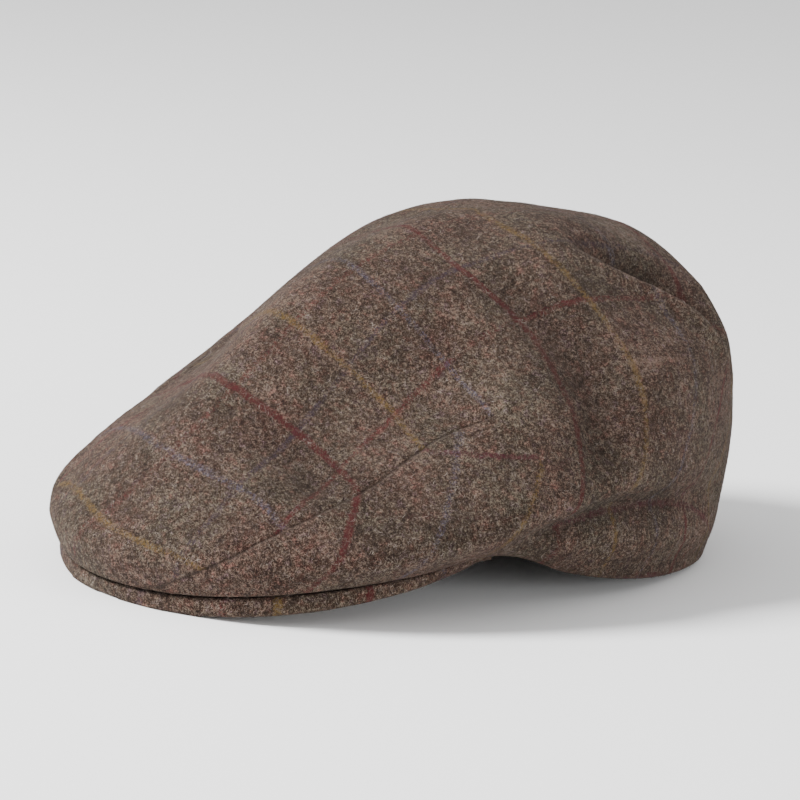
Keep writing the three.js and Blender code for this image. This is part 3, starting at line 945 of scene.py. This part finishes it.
def fibre_tree():
    tree = bpy.data.node_groups.new("strewn_fibres", "GeometryNodeTree")
    face = tree.interface
    face.new_socket("Geometry", in_out="INPUT", socket_type="NodeSocketGeometry")
    for name in ("Length", "Width", "Curl", "Arch", "Density"):
        face.new_socket(name, in_out="INPUT", socket_type="NodeSocketFloat")
    face.new_socket("Seed", in_out="INPUT", socket_type="NodeSocketInt")
    face.new_socket("Material", in_out="INPUT", socket_type="NodeSocketMaterial")
    face.new_socket("Geometry", in_out="OUTPUT", socket_type="NodeSocketGeometry")
    add = node_tools(tree)
    given = add.new("NodeGroupInput").outputs

    def random_value(kind, low, high, offset):
        node = add.new("FunctionNodeRandomValue")
        node.data_type = kind
        first = {"FLOAT_VECTOR": 0, "FLOAT": 2, "INT": 4}[kind]
        node.inputs[first].default_value = low
        node.inputs[first + 1].default_value = high
        add.link(add.math("ADD", given["Seed"], offset), node.inputs["Seed"])
        return node.outputs[{"FLOAT_VECTOR": 0, "FLOAT": 1, "INT": 2}[kind]]

    # two shapes of fibre: a bow and a wave
    shapes = add.new("GeometryNodeGeometryToInstance")
    for wave in (False, True):
        add.link(curled_ribbon(add, given, wave), shapes.inputs[0])

    strewn = add.new("GeometryNodeDistributePointsOnFaces")
    add.link(given["Geometry"], strewn.inputs["Mesh"])
    add.link(given["Density"], strewn.inputs["Density"])
    add.link(given["Seed"], strewn.inputs["Seed"])
    outer_side = add.new("GeometryNodeInputNamedAttribute")
    outer_side.data_type = "FLOAT"
    outer_side.inputs["Name"].default_value = "outside"
    add.link(add.math("GREATER_THAN", outer_side.outputs[0], 0.5), strewn.inputs["Selection"])

    turned = add.new("FunctionNodeRotateRotation")
    turned.rotation_space = "LOCAL"
    add.link(strewn.outputs["Rotation"], turned.inputs[0])
    euler = add.new("FunctionNodeEulerToRotation")
    tilts = random_value("FLOAT_VECTOR", (-0.15, -0.12, 0.0), (0.15, 0.12, 6.283), 1)
    add.link(tilts, euler.inputs[0])
    add.link(euler.outputs[0], turned.inputs[1])
    placed = add.new("GeometryNodeInstanceOnPoints")
    add.link(strewn.outputs["Points"], placed.inputs["Points"])
    add.link(shapes.outputs[0], placed.inputs["Instance"])
    placed.inputs["Pick Instance"].default_value = True
    add.link(random_value("INT", 0, 1, 2), placed.inputs["Instance Index"])
    add.link(turned.outputs[0], placed.inputs["Rotation"])
    add.link(random_value("FLOAT", 0.5, 1.35, 3), placed.inputs["Scale"])
    real = add.new("GeometryNodeRealizeInstances")
    add.link(placed.outputs[0], real.inputs[0])
    coloured = add.new("GeometryNodeSetMaterial")
    add.link(real.outputs[0], coloured.inputs["Geometry"])
    add.link(given["Material"], coloured.inputs["Material"])
    add.link(coloured.outputs[0], add.new("NodeGroupOutput").inputs[0])
    return tree


def fibre_material():
    material = bpy.data.materials.new("wool_fibres")
    material.use_nodes = True
    add = node_tools(material.node_tree)
    where = add.new("ShaderNodeTexCoord").outputs["Object"]
    browns = [
        (0.38, (0.014, 0.009, 0.0074)),
        (0.48, (0.043, 0.03, 0.0235)),
        (0.57, (0.13, 0.1, 0.082)),
        (0.68, (0.31, 0.258, 0.222)),
    ]
    colour = add.ramp(add.noise(where, 420.0, 3.0, 0.7), browns)["Color"]
    # as on the cloth, painted shade darkens the fibres in the folds and painted light pales them on the
    # crests
    fibre_painted_shade = add.new("ShaderNodeVectorMath")
    fibre_painted_shade.operation = "SCALE"
    add.link(colour, fibre_painted_shade.inputs[0])
    add.link(add.smooth(add.attribute("pressed"), PALEST_PAINTED_SHARE, DARKEST_PAINTED_SHARE, 1.02, 0.3), fibre_painted_shade.inputs["Scale"])
    shader = material.node_tree.nodes["Principled BSDF"]
    add.link(fibre_painted_shade.outputs[0], shader.inputs["Base Color"])
    shader.inputs["Roughness"].default_value = 0.8
    shader.inputs["Specular IOR Level"].default_value = 0.2
    return material


fibres_over = fibre_tree()
wool_fibres = fibre_material()
sockets = {s.name: s.identifier for s in fibres_over.interface.items_tree if s.in_out == "INPUT"}
fibre_sizes = {"Length": FIBRE_LENGTH, "Width": FIBRE_WIDTH, "Curl": FIBRE_CURL, "Arch": FIBRE_ARCH}
for seed, cloth_piece in enumerate((crown, panel_left, panel_right, peak)):
    grown = cloth_piece.copy()
    grown.data = cloth_piece.data.copy()
    bpy.context.scene.collection.objects.link(grown)
    layer = grown.modifiers.new("fibres", "NODES")
    layer.node_group = fibres_over
    for name, millimetres in fibre_sizes.items():
        layer[sockets[name]] = millimetres * MM
    layer[sockets["Density"]] = float(FIBRES_PER_SQUARE_METRE)
    layer[sockets["Seed"]] = seed * 10 + 3
    layer[sockets["Material"]] = wool_fibres
    evaluated = grown.evaluated_get(bpy.context.evaluated_depsgraph_get())
    plain = bpy.data.meshes.new_from_object(evaluated)
    grown.modifiers.clear()
    bpy.data.objects.remove(grown)
    fibres = bpy.data.objects.new(cloth_piece.name.replace("cloth", "fibres"), plain)
    bpy.context.scene.collection.objects.link(fibres)
    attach(fibres, "root")

# The floor, the light and the camera
# A pale table top under soft light from the upper left, seen from the front left of the cap.
bpy.ops.mesh.primitive_plane_add(size=8, location=(0, 0, -0.0002))
floor = bpy.context.object
floor.name = "table_top"
pale_floor = bpy.data.materials.new("pale_floor")
pale_floor.use_nodes = True
floor_settings = pale_floor.node_tree.nodes["Principled BSDF"].inputs
floor_settings["Base Color"].default_value = (0.94, 0.94, 0.94, 1)
floor_settings["Roughness"].default_value = 0.9
floor.data.materials.append(pale_floor)

world = bpy.data.worlds.new("pale_room")
bpy.context.scene.world = world
world.use_nodes = True
room_light = world.node_tree.nodes["Background"].inputs
room_light["Color"].default_value = (1.0, 1.0, 1.0, 1)
room_light["Strength"].default_value = 0.9


def soft_light(name, place_at, aim, size, power):
    lamp = bpy.data.lights.new(name, "AREA")
    lamp.shape = "DISK"
    lamp.size = size
    lamp.energy = power
    holder = bpy.data.objects.new(name, lamp)
    holder.location = place_at
    direction = Vector(aim) - Vector(place_at)
    holder.rotation_euler = direction.to_track_quat("-Z", "Y").to_euler()
    bpy.context.scene.collection.objects.link(holder)


soft_light("key", (-0.8, -1.4, 1.4), (0, 0, 0.05), 0.8, 124)
soft_light("fill", (1.5, 0.5, 0.2), (0, 0, 0.05), 0.7, 20)

CAMERA_AZIMUTH = 47.752
CAMERA_ELEVATION = 11.507
CAMERA_ROLL = 3.76
CAMERA_DISTANCE = 1.3
PIXELS_PER_MM = 2.843
IMAGE_PIXELS = 800
SENSOR_WIDTH = 36
AIM_HEIGHT = 55
AIM_LEFT_PIXELS = 5.3
a, e = math.radians(CAMERA_AZIMUTH), math.radians(CAMERA_ELEVATION)
back = Vector((math.sin(a) * math.cos(e), -math.cos(a) * math.cos(e), math.sin(e)))
lens = bpy.data.cameras.new("camera")
lens.sensor_width = SENSOR_WIDTH
lens.lens = SENSOR_WIDTH * CAMERA_DISTANCE / (IMAGE_PIXELS * MM / PIXELS_PER_MM)
lens.clip_start = 0.05
camera = bpy.data.objects.new("camera", lens)
bpy.context.scene.collection.objects.link(camera)
turned = (-back).to_track_quat("-Z", "Y").to_matrix() @ Matrix.Rotation(math.radians(CAMERA_ROLL), 3, "Z")
cap_middle = Vector((CENTRE[0] * MM, CENTRE[1] * MM, AIM_HEIGHT * MM))
aim = cap_middle + turned @ Vector((-AIM_LEFT_PIXELS * MM / PIXELS_PER_MM, 0, 0))
camera.location = aim + back * CAMERA_DISTANCE
camera.rotation_euler = turned.to_euler()
bpy.context.scene.camera = camera
